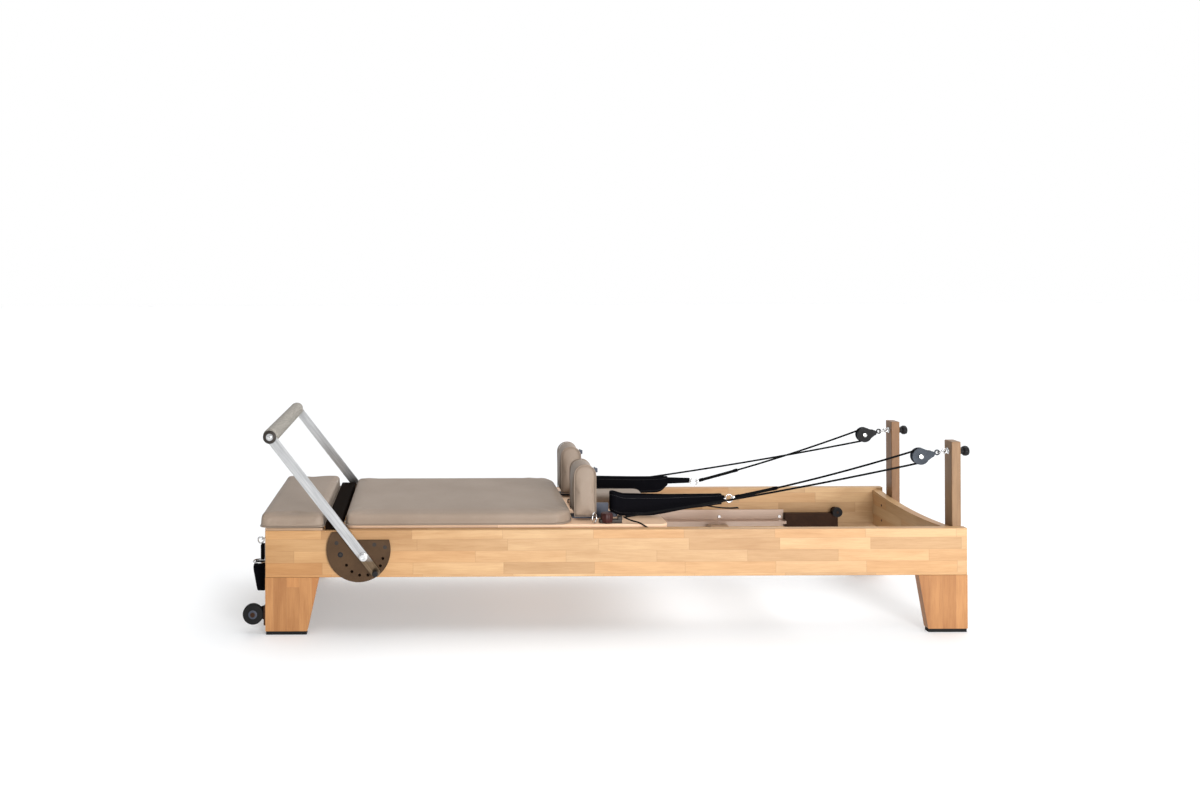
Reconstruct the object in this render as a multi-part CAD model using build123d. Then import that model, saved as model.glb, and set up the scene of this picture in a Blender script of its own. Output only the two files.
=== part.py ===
"""Pilates reformer: a low wooden frame with a sprung, wheeled carriage, a tilting footbar and two ropes.

Millimetres. X runs along the frame, with the head end (riser posts) at +X and the footbar at -X.
Y runs across, with "near" at -Y and "far" at +Y, and Z is up from the floor. Each function writes the
sub-parts of one group; a sub-part that comes as a near and far pair is built at +Y and mirrored.
"""
from build123d import *
import math
import os

# ---- wooden frame -------------------------------------------------------------------------------
HALF_LENGTH = 1200.0
HALF_WIDTH = 330.0
RAIL_THICK = 30.0
RAIL_BOTTOM = 195.0
RAIL_TOP = 355.0
RAIL_INNER = HALF_WIDTH - RAIL_THICK
GLIDE_HEIGHT = 12.0
FOOT_LEG = (184.0, 143.0)        # width along X at the top and at the bottom
HEAD_LEG = (167.0, 135.0)
HEAD_BOARD_X = (1160.0, 1190.0)
HEAD_BOARD_TOP = 345.0
HEAD_BOARD_SCOOP = 17.0          # how far the board's top edge dips in the middle
BOARD_BOTTOM = 205.0
CROSS_MEMBER_X = (-520.0, 0.0, 520.0)

# ---- track, carriage and its wheels -------------------------------------------------------------
TRACK_X = (-940.0, 795.0)
TRACK_Z = (200.0, 268.0)
TRACK_WEB = 4.0
LEDGE_Z = (224.0, 229.0)
LEDGE_INNER = 262.0
WHEEL_R = 22.0
WHEEL_Y = (264.0, 280.0)
WHEEL_X = (-860.0, 150.0)
WHEEL_BORE = 5.05
AXLE_R = 5.0
WHEEL_Z = LEDGE_Z[1] + WHEEL_R + 0.3
BASE_X = (-928.0, 190.0)
BASE_Z = (338.0, 362.0)
BASE_HALF_WIDTH = 288.0
PAD_X = (-934.0, -136.0)
PAD_TOP = 408.0
PAD_CORNER = 75.0

# ---- foot platform, springs and footbar ---------------------------------------------------------
PLATFORM_X = (-1223.0, -996.0)
PLATFORM_Z = (363.0, 411.0)
SPRING_Y = (-160.0, -80.0, 0.0, 80.0, 160.0)
SPRING_Z = 300.0
SPRING_R = 14.0
SPRING_BAR_X = -975.0
SPRING_BAR_R = 8.0
SPRING_COVER_X = (-995.0, -940.0)
SPRING_COVER_TOP = 381.0
SPRING_HOOK_X = -700.0
PIVOT = (-863.0, 270.0)
ARM_ANGLE = 52.2                 # degrees above horizontal, leaning to the foot end
ARM_LENGTH = 517.0
ARM_TAIL = 66.0
ARM_WIDTH = 33.0
ARM_Y = (339.0, 347.0)
PLATE_Y = (330.0, 338.0)
PIVOT_R = 8.0
LOCK_HOLE_TURNS = (-45.0, -22.0, 0.0, 25.0, 50.0, 75.0, 100.0)
GRIP_R = 26.0
TUBE_R = 14.0

# ---- head end: risers, pulleys, ropes -----------------------------------------------------------
RISER_X = (1190.0, 1222.0)
RISER_Y = (200.0, 250.0)
RISER_TOP = 636.0
EYE_Z = 600.0
PULLEY = (1090.0, 225.0, 582.0)
PULLEY_TILT = 12.0               # the block hangs down from its eye by this angle
PULLEY_YAW = 1.2                 # and turns inward, between its two rope runs
ROPE_R = 3.5
ROPE_LINE_R = 23.3               # radius of the rope's centre line round the sheave
ROPE_ANCHOR = (45.0, 262.0, 382.0)
STRAP_END = {"near": (454.0, 175.0, 429.0), "far": (421.0, 175.0, 413.0)}    # both as built at +Y

# ---- shoulder rests, straps, headrest -----------------------------------------------------------
REST_X = (-131.0, -49.0)
REST_Y = (115.0, 235.0)
REST_Z = (373.0, 560.0)
STRAP_POST = (25.0, 175.0)
STRAP_THICK = 7.0
STRAP_TAB = 6.0                  # thickness of the doubled webbing that holds the snap hook's ring
HEADREST_HINGE = (-110.0, 369.0)


def slab(x, y, z):
    """A box given by its (low, high) along each axis."""
    sizes = [high - low for low, high in (x, y, z)]
    centre = [(low + high) / 2 for low, high in (x, y, z)]
    return Pos(*centre) * Box(*sizes)


def rod(start, end, radius):
    """A round bar between two points."""
    start = Vector(*start)
    along = Vector(*end) - start
    return Plane(origin=start, z_dir=along) * Cylinder(
        radius, along.length, align=(Align.CENTER, Align.CENTER, Align.MIN))


def rod_y(x, z, y, radius):
    """A round bar along Y, from y[0] to y[1]."""
    return rod((x, y[0], z), (x, y[1], z), radius)


def ring(centre, normal, big, small):
    """A torus about a point."""
    return Plane(origin=centre, z_dir=normal) * Torus(big, small)


def profile_y(outline, y):
    """A closed XZ outline, given as (x, z) corners, extruded from y[0] to y[1]."""
    plane = Plane(origin=(0, y[0], 0), x_dir=(1, 0, 0), z_dir=(0, -1, 0))
    face = make_face(Polyline(*[(x, z) for x, z in outline], close=True).edges())
    return extrude(plane * face, -(y[1] - y[0]))


def eased(solid, radius, edges=None):
    """The solid with its edges rounded."""
    return fillet(edges if edges is not None else solid.edges(), radius)


def to_near(shape):
    """The -Y twin of a shape that was built at +Y."""
    return mirror(shape, about=Plane.XZ)


def save(name, *shapes):
    """Writes one sub-part: one solid, or a group of separate solids."""
    solids = [s for shape in shapes for s in shape.solids()]
    whole = solids[0] if len(solids) == 1 else Compound(children=solids)
    export_step(whole, f"parts/{name}.step")


def save_pair(name, *shapes):
    """Writes the far (+Y) sub-part and its near twin."""
    save(f"{name}_far", *shapes)
    save(f"{name}_near", *[to_near(s) for s in shapes])


def save_both(name, *shapes):
    """Writes one group that holds the far pieces and their near twins."""
    save(name, *shapes, *[to_near(s) for s in shapes])


def turned(point, degrees):
    """A point relative to the footbar's pivot, turned with the footbar towards the head end."""
    a = math.radians(degrees)
    return (PIVOT[0] + point[0] * math.cos(a) + point[1] * math.sin(a),
            PIVOT[1] - point[0] * math.sin(a) + point[1] * math.cos(a))


def along_arm(distance):
    """A point on the footbar arm's centre line, measured from the pivot towards the grip."""
    a = math.radians(ARM_ANGLE)
    return (PIVOT[0] - distance * math.cos(a), PIVOT[1] + distance * math.sin(a))


def tail_offset():
    """The locking pin's place relative to the pivot."""
    x, z = along_arm(-ARM_TAIL)
    return (x - PIVOT[0], z - PIVOT[1])


# ---- fasteners that several pieces are drilled for ------------------------------------------------
LEG_BOLT_X = [side * x for side in (-1, 1) for x in (1160.0, 1090.0)]
LEG_BOLT_R = 5.0
LEG_BOLT_Z = (120.0, 250.0)
PLATE_BOLTS = ((-955.0, 315.0), (-790.0, 300.0), (-942.0, 275.0), (-826.0, 309.0))
PLATE_BOLT_R = 4.0
PLATE_HEAD_R = 7.0
RISER_BOLT_Z = (240.0, 300.0)
RISER_BOLT_R = 5.0
RISER_Y_MID = sum(RISER_Y) / 2
RAIL_Y_MID = HALF_WIDTH - RAIL_THICK / 2


def leg_bolt_shafts():
    return [rod((x, RAIL_Y_MID, LEG_BOLT_Z[0]), (x, RAIL_Y_MID, LEG_BOLT_Z[1]), LEG_BOLT_R)
            for x in LEG_BOLT_X]


def plate_bolt_shafts():
    return [rod_y(x, z, (310.0, PLATE_Y[1] - 4.0), PLATE_BOLT_R) for x, z in PLATE_BOLTS]


def riser_bolt_shafts():
    return [rod((HEAD_BOARD_X[0], RISER_Y_MID, z), (RISER_X[1], RISER_Y_MID, z), RISER_BOLT_R)
            for z in RISER_BOLT_Z]


def make_side_rails():
    rail = slab((-HALF_LENGTH, HALF_LENGTH), (RAIL_INNER, HALF_WIDTH), (RAIL_BOTTOM, RAIL_TOP))
    rail = eased(rail, 3.0, rail.edges().filter_by(Axis.X) + rail.edges().filter_by(Axis.Z))
    rail -= rod_y(*PIVOT, (305.0, HALF_WIDTH), PIVOT_R)
    for shaft in leg_bolt_shafts() + plate_bolt_shafts():
        rail -= shaft
    save_pair("side_rail", rail)


def make_end_boards():
    scoop_r = (RAIL_INNER ** 2 + HEAD_BOARD_SCOOP ** 2) / (2 * HEAD_BOARD_SCOOP)
    head = slab(HEAD_BOARD_X, (-RAIL_INNER, RAIL_INNER), (BOARD_BOTTOM, HEAD_BOARD_TOP))
    scoop_z = HEAD_BOARD_TOP - HEAD_BOARD_SCOOP + scoop_r
    head -= rod((HEAD_BOARD_X[0] - 5, 0, scoop_z), (HEAD_BOARD_X[1] + 5, 0, scoop_z), scoop_r)
    for shaft in riser_bolt_shafts():
        head -= shaft
        head -= to_near(shaft)
    save("head_board", head)
    foot = slab((-1199.0, -1171.0), (-RAIL_INNER, RAIL_INNER), (BOARD_BOTTOM, 350.0))
    save("foot_board", eased(foot, 2.0, foot.edges().filter_by(Axis.Y)))
    members = [slab((x - 35, x + 35), (-295.7, 295.7), (RAIL_BOTTOM + 1, LEDGE_Z[0] - 6.5))
               for x in CROSS_MEMBER_X]
    save("cross_members", *members)


def make_legs():
    for name, end, (top, bottom) in (("leg_foot", -1, FOOT_LEG), ("leg_head", 1, HEAD_LEG)):
        outer = end * HALF_LENGTH
        outline = [(outer, RAIL_BOTTOM), (outer, GLIDE_HEIGHT),
                   (outer - end * bottom, GLIDE_HEIGHT), (outer - end * top, RAIL_BOTTOM)]
        leg = profile_y(outline, (RAIL_INNER, HALF_WIDTH))
        leg = eased(leg, 2.5, leg.edges().filter_by(Axis.Y).sort_by(Axis.Z)[:2])
        for shaft in leg_bolt_shafts():
            leg -= shaft
        save_pair(name, leg)
    glides = []
    for end, (_, bottom) in ((-1, FOOT_LEG), (1, HEAD_LEG)):
        inner, outer = sorted((end * (HALF_LENGTH - 2), end * (HALF_LENGTH + 2 - bottom)))
        glide = slab((inner, outer), (RAIL_INNER + 1.5, HALF_WIDTH - 1.5), (0, GLIDE_HEIGHT))
        glides.append(eased(glide, 2.0, glide.edges().filter_by(Axis.Z)))
    save_both("foot_glides", *glides)


def make_frame_bolts():
    plate_bolts = [shaft + rod_y(x, z, (PLATE_Y[1] - 4.0, PLATE_Y[1]), PLATE_HEAD_R)
                   for shaft, (x, z) in zip(plate_bolt_shafts(), PLATE_BOLTS)]
    riser_bolts = []
    for shaft, z in zip(riser_bolt_shafts(), RISER_BOLT_Z):
        head = rod((RISER_X[1], RISER_Y_MID, z), (RISER_X[1] + 4, RISER_Y_MID, z), 9.0)
        riser_bolts.append(shaft + head)
    save_both("frame_bolts", *leg_bolt_shafts(), *plate_bolts, *riser_bolts)


def make_tracks():
    web = slab(TRACK_X, (RAIL_INNER - TRACK_WEB, RAIL_INNER), TRACK_Z)
    ledge = slab(TRACK_X, (LEDGE_INNER, RAIL_INNER - TRACK_WEB), LEDGE_Z)
    lip = slab(TRACK_X, (LEDGE_INNER, LEDGE_INNER + 3), (LEDGE_Z[0] - 6, LEDGE_Z[0]))
    save_both("carriage_tracks", web + ledge + lip)
    screws = []
    x = TRACK_X[1] - 17.0
    while x > TRACK_X[0]:
        head = rod_y(x, 240.0, (RAIL_INNER - TRACK_WEB - 3.0, RAIL_INNER - TRACK_WEB), 6.0)
        screws.append(head)
        x -= 244.0
    save_both("track_screws", *screws)


STOP_X = (795.5, 1010.0)
STOP_KNOB = (1003.0, 262.0)
STOP_SHAFT_R = 5.0


def make_carriage_stops():
    bar = slab(STOP_X, (282.0, RAIL_INNER), (201.0, 255.0))
    lug = rod_y(*STOP_KNOB, (282.0, RAIL_INNER), 16.0)
    shaft = rod_y(*STOP_KNOB, (266.0, 282.0), STOP_SHAFT_R)
    save_both("carriage_stops", bar + lug + shaft)
    knob = rod_y(*STOP_KNOB, (266.0, 280.0), 20.0)
    knob = eased(knob, 3.0, knob.edges())
    save_both("stop_knobs", knob - rod_y(*STOP_KNOB, (260.0, 281.0), STOP_SHAFT_R + 0.05))


def make_platform():
    board = slab((-1200.0, -1004.0), (-326.0, 326.0), (RAIL_TOP, PLATFORM_Z[0]))
    save("platform_board", board)
    pad = slab(PLATFORM_X, (-327.0, 327.0), PLATFORM_Z)
    pad = eased(pad, 22.0, pad.edges().filter_by(Axis.Z))
    pad = eased(pad, 8.0, pad.edges().group_by(Axis.Z)[-1])
    save("platform_pad", pad)


def make_footbar_plates():
    middle = (-880.0, 290.0)
    plate = rod_y(*middle, PLATE_Y, 109.0)
    plate -= slab((-1000, -760), (PLATE_Y[0] - 1, PLATE_Y[1] + 1), (351.0, 420.0))
    plate -= slab((-905.0, -760), (PLATE_Y[0] - 1, PLATE_Y[1] + 1), (324.0, 420.0))
    plate -= rod_y(*PIVOT, (PLATE_Y[0] - 1, PLATE_Y[1] + 1), PIVOT_R)
    for turn in LOCK_HOLE_TURNS:
        x, z = turned(tail_offset(), turn)
        plate -= rod_y(x, z, (PLATE_Y[0] - 1, PLATE_Y[1] + 1), LOCK_PIN_R + 0.3)
    for x, z in PLATE_BOLTS:
        plate -= rod_y(x, z, (PLATE_Y[0] - 1, PLATE_Y[1] - 4.0), PLATE_BOLT_R)
        plate -= rod_y(x, z, (PLATE_Y[1] - 4.0, PLATE_Y[1] + 1), PLATE_HEAD_R)
    save_pair("footbar_plate", plate)
    bolt = rod_y(*PIVOT, (305.0, 349.0), PIVOT_R) + rod_y(*PIVOT, (349.0, 355.0), 13.0)
    save_both("footbar_pivot_bolts", bolt)


LOCK_PIN_R = 5.0
LOCK_BORE = LOCK_PIN_R + 0.06


def make_footbar():
    pin_x, pin_z = turned(tail_offset(), 0)
    grip_x, grip_z = along_arm(ARM_LENGTH)
    a = math.radians(ARM_ANGLE)
    across = (ARM_WIDTH / 2 * math.sin(a), ARM_WIDTH / 2 * math.cos(a))
    outline = [(grip_x - across[0], grip_z - across[1]), (grip_x + across[0], grip_z + across[1]),
               (pin_x + across[0], pin_z + across[1]), (pin_x - across[0], pin_z - across[1])]
    arm = profile_y(outline, ARM_Y)
    arm += rod_y(grip_x, grip_z, ARM_Y, ARM_WIDTH / 2)
    arm += rod_y(pin_x, pin_z, ARM_Y, ARM_WIDTH / 2)
    reach = (ARM_Y[0] - 1, ARM_Y[1] + 1)
    arm -= rod_y(*PIVOT, reach, PIVOT_R + 0.05)
    arm -= rod_y(pin_x, pin_z, reach, LOCK_BORE)
    arm -= rod_y(grip_x, grip_z, reach, 6.0)
    save_pair("footbar_arm", arm)
    tube = rod_y(grip_x, grip_z, (-ARM_Y[0], ARM_Y[0]), TUBE_R)
    grip = rod_y(grip_x, grip_z, (-334.0, 334.0), GRIP_R) - tube
    tube -= rod_y(grip_x, grip_z, (-325.0, 325.0), TUBE_R - 2.5)
    bolt = rod_y(grip_x, grip_z, (ARM_Y[0], ARM_Y[1]), 6.0)
    bolt += rod_y(grip_x, grip_z, (ARM_Y[1], ARM_Y[1] + 5), 12.0)
    save("footbar_tube", tube + bolt + to_near(bolt))
    save("footbar_grip", grip)
    # each pin rests just clear of its plate: 7 mm further in it locks the bar, further out it is pulled
    pin = rod_y(pin_x, pin_z, (PLATE_Y[1] + 0.5, 372.0), LOCK_PIN_R)
    pull = rod_y(pin_x, pin_z, (356.0, 372.0), 10.0)
    save_pair("lock_pin", pin + eased(pull, 2.0))


def make_springs():
    cover = slab(SPRING_COVER_X, (-318.0, 318.0), (RAIL_TOP, SPRING_COVER_TOP))
    cover = eased(cover, 6.0, cover.edges().group_by(Axis.Z)[-1])
    web = slab((SPRING_BAR_X - 4, SPRING_BAR_X + 4), (-290.0, 290.0), (SPRING_Z, RAIL_TOP + 1))
    bar = rod_y(SPRING_BAR_X, SPRING_Z, (-RAIL_INNER, RAIL_INNER), SPRING_BAR_R)
    save("spring_bar", cover + web + bar)
    end = SPRING_BAR_X + SPRING_BAR_R + 0.5
    springs = [rod((end, y, SPRING_Z), (SPRING_HOOK_X - 0.5, y, SPRING_Z), SPRING_R)
               for y in SPRING_Y]
    save("springs", *springs)
    hang = slab((SPRING_HOOK_X, SPRING_HOOK_X + 5), (-185.0, 185.0), (284.0, BASE_Z[0]))
    foot = slab((SPRING_HOOK_X + 5, SPRING_HOOK_X + 50), (-185.0, 185.0),
                (BASE_Z[0] - 5, BASE_Z[0]))
    save("spring_hook_bar", hang + foot)


def make_risers():
    riser = slab(RISER_X, RISER_Y, (BOARD_BOTTOM, RISER_TOP))
    riser = eased(riser, 2.5, riser.edges().filter_by(Axis.Z))
    riser = eased(riser, 2.5, riser.edges().group_by(Axis.Z)[-1])
    riser -= rod((RISER_X[0] - 1, RISER_Y_MID, EYE_Z), (RISER_X[1] + 1, RISER_Y_MID, EYE_Z), 4.2)
    for shaft in riser_bolt_shafts():
        riser -= shaft
    save_pair("riser", riser)


KNOB_X = (1226.0, 1260.0)
EYE_RING_X = 1178.0


def make_riser_hardware():
    y = RISER_Y_MID
    bolt = rod((EYE_RING_X + 7, y, EYE_Z), (1250.0, y, EYE_Z), 4.0)
    bolt += rod((RISER_X[0] - 1.9, y, EYE_Z), (RISER_X[0], y, EYE_Z), 11.0)
    bolt += ring((EYE_RING_X, y, EYE_Z), (0, 1, 0), 7.5, 2.5)
    link = ring((1164.2, y + 1.2, EYE_Z - 2.6), (-0.2, 0, 1), 11.8, 2.2)
    save_both("riser_eye_bolts", bolt, link)
    knob = rod((KNOB_X[0], y, EYE_Z), (KNOB_X[0] + 14, y, EYE_Z), 11.0)
    knob += eased(rod((KNOB_X[0] + 12, y, EYE_Z), (KNOB_X[1], y, EYE_Z), 17.0), 5.0)
    save_pair("riser_knob", knob - rod((1220.0, y, EYE_Z), (1251.0, y, EYE_Z), 4.05))


def pulley_frame():
    """The pulley block's own axes: X from the sheave to its eye, Y along the sheave's axle."""
    return Location(PULLEY, (0, 0, PULLEY_YAW)) * Location((0, 0, 0), (0, -PULLEY_TILT, 0))


SHEAVE_CORE = 19.6
SHEAVE_RIM = 26.0
GROOVE_HALF = 5.4
SHEAVE_HALF = 6.9
CHEEK_HALF = (7.2, 10.2)
SHEAVE_AXLE = 4.0


def make_pulleys():
    place = pulley_frame()
    cheeks = []
    for side in (-1, 1):
        span = sorted((side * CHEEK_HALF[0], side * CHEEK_HALF[1]))
        cheek = rod_y(0, 0, span, 29.0) + rod_y(38.0, 0, span, 11.0)
        neck = profile_y([(0, 29.0), (38.0, 11.0), (38.0, -11.0), (0, -29.0)], span)
        cheeks.append(cheek + neck)
    spacer = rod_y(40.0, 0, (-CHEEK_HALF[0], CHEEK_HALF[0]), 7.0)
    axle = rod_y(0, 0, (-12.0, 12.0), SHEAVE_AXLE)
    caps = [rod_y(0, 0, sorted((s * CHEEK_HALF[1], s * 13.0)), 8.0) for s in (-1, 1)]
    block = cheeks[0] + cheeks[1] + spacer + axle + caps[0] + caps[1]
    block += rod((44.0, 0, 0), (55.0, 0, 0), 4.5)
    block += ring((62.0, 0, 0), (0, 1, 0), 8.0, 2.4)
    save_pair("pulley_block", place * block)
    sheave = rod_y(0, 0, (-SHEAVE_HALF, SHEAVE_HALF), SHEAVE_RIM)
    groove = rod_y(0, 0, (-GROOVE_HALF, GROOVE_HALF), SHEAVE_RIM + 5)
    groove -= rod_y(0, 0, (-GROOVE_HALF, GROOVE_HALF), SHEAVE_CORE)
    sheave -= groove
    sheave -= rod_y(0, 0, (-10, 10), SHEAVE_AXLE + 0.05)
    save_pair("sheave", place * sheave)


def tangent_point(goal, side):
    """Where a run to the goal leaves the sheave, on its upper (+1) or lower (-1) side."""
    local = pulley_frame().inverse() * Location(goal)
    gx, gz = local.position.X, local.position.Z
    reach = math.hypot(gx, gz)
    a = math.atan2(gz, gx) - side * math.acos(ROPE_LINE_R / reach)
    point = (ROPE_LINE_R * math.cos(a), 0, ROPE_LINE_R * math.sin(a))
    return a, (pulley_frame() * Location(point)).position


def rope(strap_end):
    """A rope's three solids as built at +Y: the wrap round the sheave, the cleat's run and the strap's."""
    low, low_point = tangent_point(ROPE_ANCHOR, -1)
    high, high_point = tangent_point(strap_end, 1)
    start, end = math.degrees(low), math.degrees(high)
    sweep_angle = (end - start) % 360
    # the arc is drawn about the sheave's axle: its angles run from X towards Z
    across = Plane(origin=(ROPE_LINE_R, 0, 0), z_dir=(0, 0, 1))
    arc = revolve(across * Circle(ROPE_R), Axis.Y, -sweep_angle)
    wrap = pulley_frame() * (Rot(0, -start, 0) * arc)
    gap = 0.3
    runs = []
    for point, goal in ((low_point, ROPE_ANCHOR), (high_point, strap_end)):
        towards = (Vector(*goal) - point).normalized()
        runs.append(rod(point + towards * gap, goal, ROPE_R))
    return [wrap, *runs]


def make_ropes():
    save("rope_near", *[to_near(s) for s in rope(STRAP_END["near"])])
    save("rope_far", *rope(STRAP_END["far"]))


TRANSPORT_WHEEL = (-1244.0, 67.0, 35.0)      # centre X, centre Z, radius


def make_transport_wheels():
    x, z, r = TRANSPORT_WHEEL
    bracket = slab((-1206.0, -1200.0), (301.0, 329.0), (32.0, 95.0))
    ear_y = (301.0, 304.0)
    bracket += profile_y([(x, z + 12), (-1200.0, 95.0), (-1200.0, 40.0), (x, z - 12)], ear_y)
    bracket += rod_y(x, z, ear_y, 12.0) + rod_y(x, z, (301.0, 329.0), 4.0) + rod_y(x, z, (326.0, 329.0), 8.0)
    save_both("transport_brackets", bracket)
    wheel = rod_y(x, z, (305.0, 325.0), r)
    wheel = eased(wheel, 4.0, wheel.edges())
    save_pair("transport_wheel", wheel - rod_y(x, z, (300, 330), 4.05))


FOOT_STRAP_Y = 215.0


def make_foot_straps():
    """Each webbing loop hangs by two rings and a short tape from an eye on the foot board."""
    y = FOOT_STRAP_Y
    ring_x, ring_z, ring_r = -1234.0, 293.0, 10.5
    outward = (math.cos(math.radians(30)), math.sin(math.radians(30)))
    eye_x, eye_z = ring_x + ring_r * outward[0], ring_z + ring_r * outward[1]
    eye = ring((eye_x, y, eye_z), (-outward[1], 0, outward[0]), 6.5, 2.0)
    shank = rod((eye_x + 7 * outward[0], y, eye_z + 7 * outward[1]), (-1202.0, y, 311.0), 2.5)
    plate = slab((-1203.0, -1199.0), (y - 12, y + 12), (297.0, 326.0))
    upper = ring((ring_x, y, ring_z), (0, 1, 0), ring_r, 2.5)
    tape = slab((-1232.0, -1222.0), (y - 9, y + 9), (227.0, 279.5))
    lower = ring((-1235.5, y, 219.0), (0, 0, 1), 25.0, 2.5)
    save_both("foot_strap_hooks", plate + eye + shank, upper, tape, lower)
    band = profile_y([(-1256.0, 215.0), (-1211.0, 215.0), (-1217.0, 122.0), (-1239.0, 122.0)], (y - 42, y + 42))
    across = slab((-1270.0, -1200.0), (y - 42, y + 42), (122.0, 215.0))
    across = eased(across, 20.0, across.edges().filter_by(Axis.X))
    inside = slab((-1270.0, -1200.0), (y - 36, y + 36), (128.0, 209.0))
    inside = eased(inside, 14.0, inside.edges().filter_by(Axis.X))
    loop = band & (across - inside)
    save_both("foot_straps", loop)


def make_carriage():
    base = slab(BASE_X, (-BASE_HALF_WIDTH, BASE_HALF_WIDTH), BASE_Z)
    base = eased(base, 30.0, base.edges().filter_by(Axis.Z))
    save("carriage_base", eased(base, 2.0, base.edges().group_by(Axis.Z)[-1]))
    pad = slab(PAD_X, (-300.0, 300.0), (BASE_Z[1], PAD_TOP))
    upright = pad.edges().filter_by(Axis.Z).sort_by(Axis.X)
    pad = eased(pad, PAD_CORNER, upright[2:])
    pad = eased(pad, 18.0, pad.edges().filter_by(Axis.Z).sort_by(Axis.X)[:2])
    save("carriage_pad", eased(pad, 8.0, pad.edges().group_by(Axis.Z)[-1]))


def make_carriage_wheels():
    brackets = []
    for name, x in zip(("foot", "head"), WHEEL_X):
        plate = slab((x - 28, x + 28), (250.0, 256.0), (WHEEL_Z - 11, BASE_Z[0]))
        plate += slab((x - 28, x + 28), (212.0, 250.0), (BASE_Z[0] - 6, BASE_Z[0]))
        plate += rod_y(x, WHEEL_Z, (246.0, 281.0), AXLE_R)
        plate += rod_y(x, WHEEL_Z, (281.0, 285.0), 8.0)
        brackets.append(plate)
        wheel = rod_y(x, WHEEL_Z, WHEEL_Y, WHEEL_R)
        wheel = eased(wheel, 2.0, wheel.edges())
        wheel -= rod_y(x, WHEEL_Z, (WHEEL_Y[0] - 1, WHEEL_Y[1] + 1), WHEEL_BORE)
        save_both(f"carriage_wheels_{name}", wheel)
    save_both("wheel_brackets", *brackets)


def make_shoulder_rests():
    radius = (REST_X[1] - REST_X[0]) / 2
    x_mid = sum(REST_X) / 2
    post = slab(REST_X, REST_Y, (REST_Z[0], REST_Z[1] - radius))
    pad = post + rod_y(x_mid, REST_Z[1] - radius, REST_Y, radius)
    pad = eased(pad, 6.0, pad.edges().group_by(Axis.Y)[0] + pad.edges().group_by(Axis.Y)[-1])
    save_pair("shoulder_rest", pad)
    top = BASE_Z[1]
    x, y = STRAP_POST
    back_x = REST_X[1] + 5
    bracket = slab((REST_X[0], 0.0), (y - 25, y + 25), (top, top + 5))
    bracket += slab((REST_X[1], back_x), (y - 12, y + 12), (top + 5, 536.0))
    bracket += rod((back_x, y, 527.0), (back_x + 6, y, 527.0), 8.0)
    bracket += slab((back_x, 0.0), (y - 7, y + 7), (top + 5, 410.0))
    bracket += slab((0.0, x), (y - 10, y + 10), (top, top + 17))
    bracket += rod((x, y, top), (x, y, 424.0), 8.0) + rod((x, y, 420.0), (x, y, 424.0), 11.0)
    save_both("rest_brackets", bracket)


def strap_loop(circles, outline, tab):
    """A padded loop on edge, round circles of (x, outer radius), with its webbing tab.

    The outline is the loop's side view, and the tab reaches from the loop to x at the given heights."""
    y = STRAP_POST[1]

    def filled(shrink):
        solid = None
        for (x0, r0), (x1, r1) in zip(circles, circles[1:]):
            left, right = r0 - shrink, r1 - shrink
            lean = math.asin((left - right) / (x1 - x0))
            s, c = math.sin(lean), math.cos(lean)
            corners = [(x0 + left * s, y + left * c), (x1 + right * s, y + right * c),
                       (x1 + right * s, y - right * c), (x0 + left * s, y - left * c)]
            piece = extrude(make_face(Polyline(*corners, close=True).edges()), 120)
            for x, r in ((x0, left), (x1, right)):
                piece += Pos(x, y, 60) * Cylinder(r, 120)
            solid = piece if solid is None else solid + piece
        return Pos(0, 0, 350) * solid

    band = (filled(0) - filled(STRAP_THICK)) & profile_y(outline, (y - 60, y + 60))
    tip = circles[-1][0] + circles[-1][1] - STRAP_THICK / 2
    return band + slab((tip, tab[0]), (y - STRAP_TAB / 2, y + STRAP_TAB / 2), tab[1])


def make_straps():
    """The two loops lie differently: the near one is drawn out further and sags to the carriage."""
    near = [(3.0, 385.0), (35.0, 366.0), (150.0, 366.0), (196.0, 373.0), (285.0, 390.0), (346.0, 396.0),
            (420.0, 405.0), (420.0, 441.0), (45.0, 442.0), (30.0, 452.0), (3.0, 455.0)]
    near = strap_loop([(25.0, 21.0), (396.0, 12.0)], near, (416.0, (408.0, 438.0)))
    far = [(3.0, 385.0), (100.0, 381.0), (160.0, 366.0), (195.0, 366.0), (260.0, 368.0), (300.0, 388.0),
           (300.0, 430.0), (3.0, 431.0)]
    far = strap_loop([(25.0, 21.0), (287.0, 12.0)], far, (382.0, (400.0, 427.0)))
    save("strap_near", to_near(near))
    save("strap_far", far)
    hooks = []
    for side, (x, y, z) in STRAP_END.items():
        eye = ring((x - 21, y, z - 5), (0, 1, 0), 13.5, 2.4)
        swivel = rod((x - 7.0, y, z - 2), (x - 1.2, y, z - 0.3), 4.5)
        hooks += [to_near(s) if side == "near" else s for s in (eye, swivel)]
    save("strap_carabiners", *hooks)


def make_rope_cleats():
    top = BASE_Z[1]
    x, y, z = ROPE_ANCHOR
    body = slab((-48.0, x - 12), (y - 12, y + 12), (top, top + 12))
    jaw = slab((x - 26, x - 12), (y - 9, y + 9), (top + 12, top + 24))
    eye = ring((-66.0, 280.0, top + 21), (0.83, 0.55, 0), 17.5, 2.5)
    knob = eased(rod((-20.0, y, top + 3), (-20.0, y, top + 35), 21.0), 3.0)
    save_both("rope_cleats", body + jaw + knob, eye)


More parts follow.
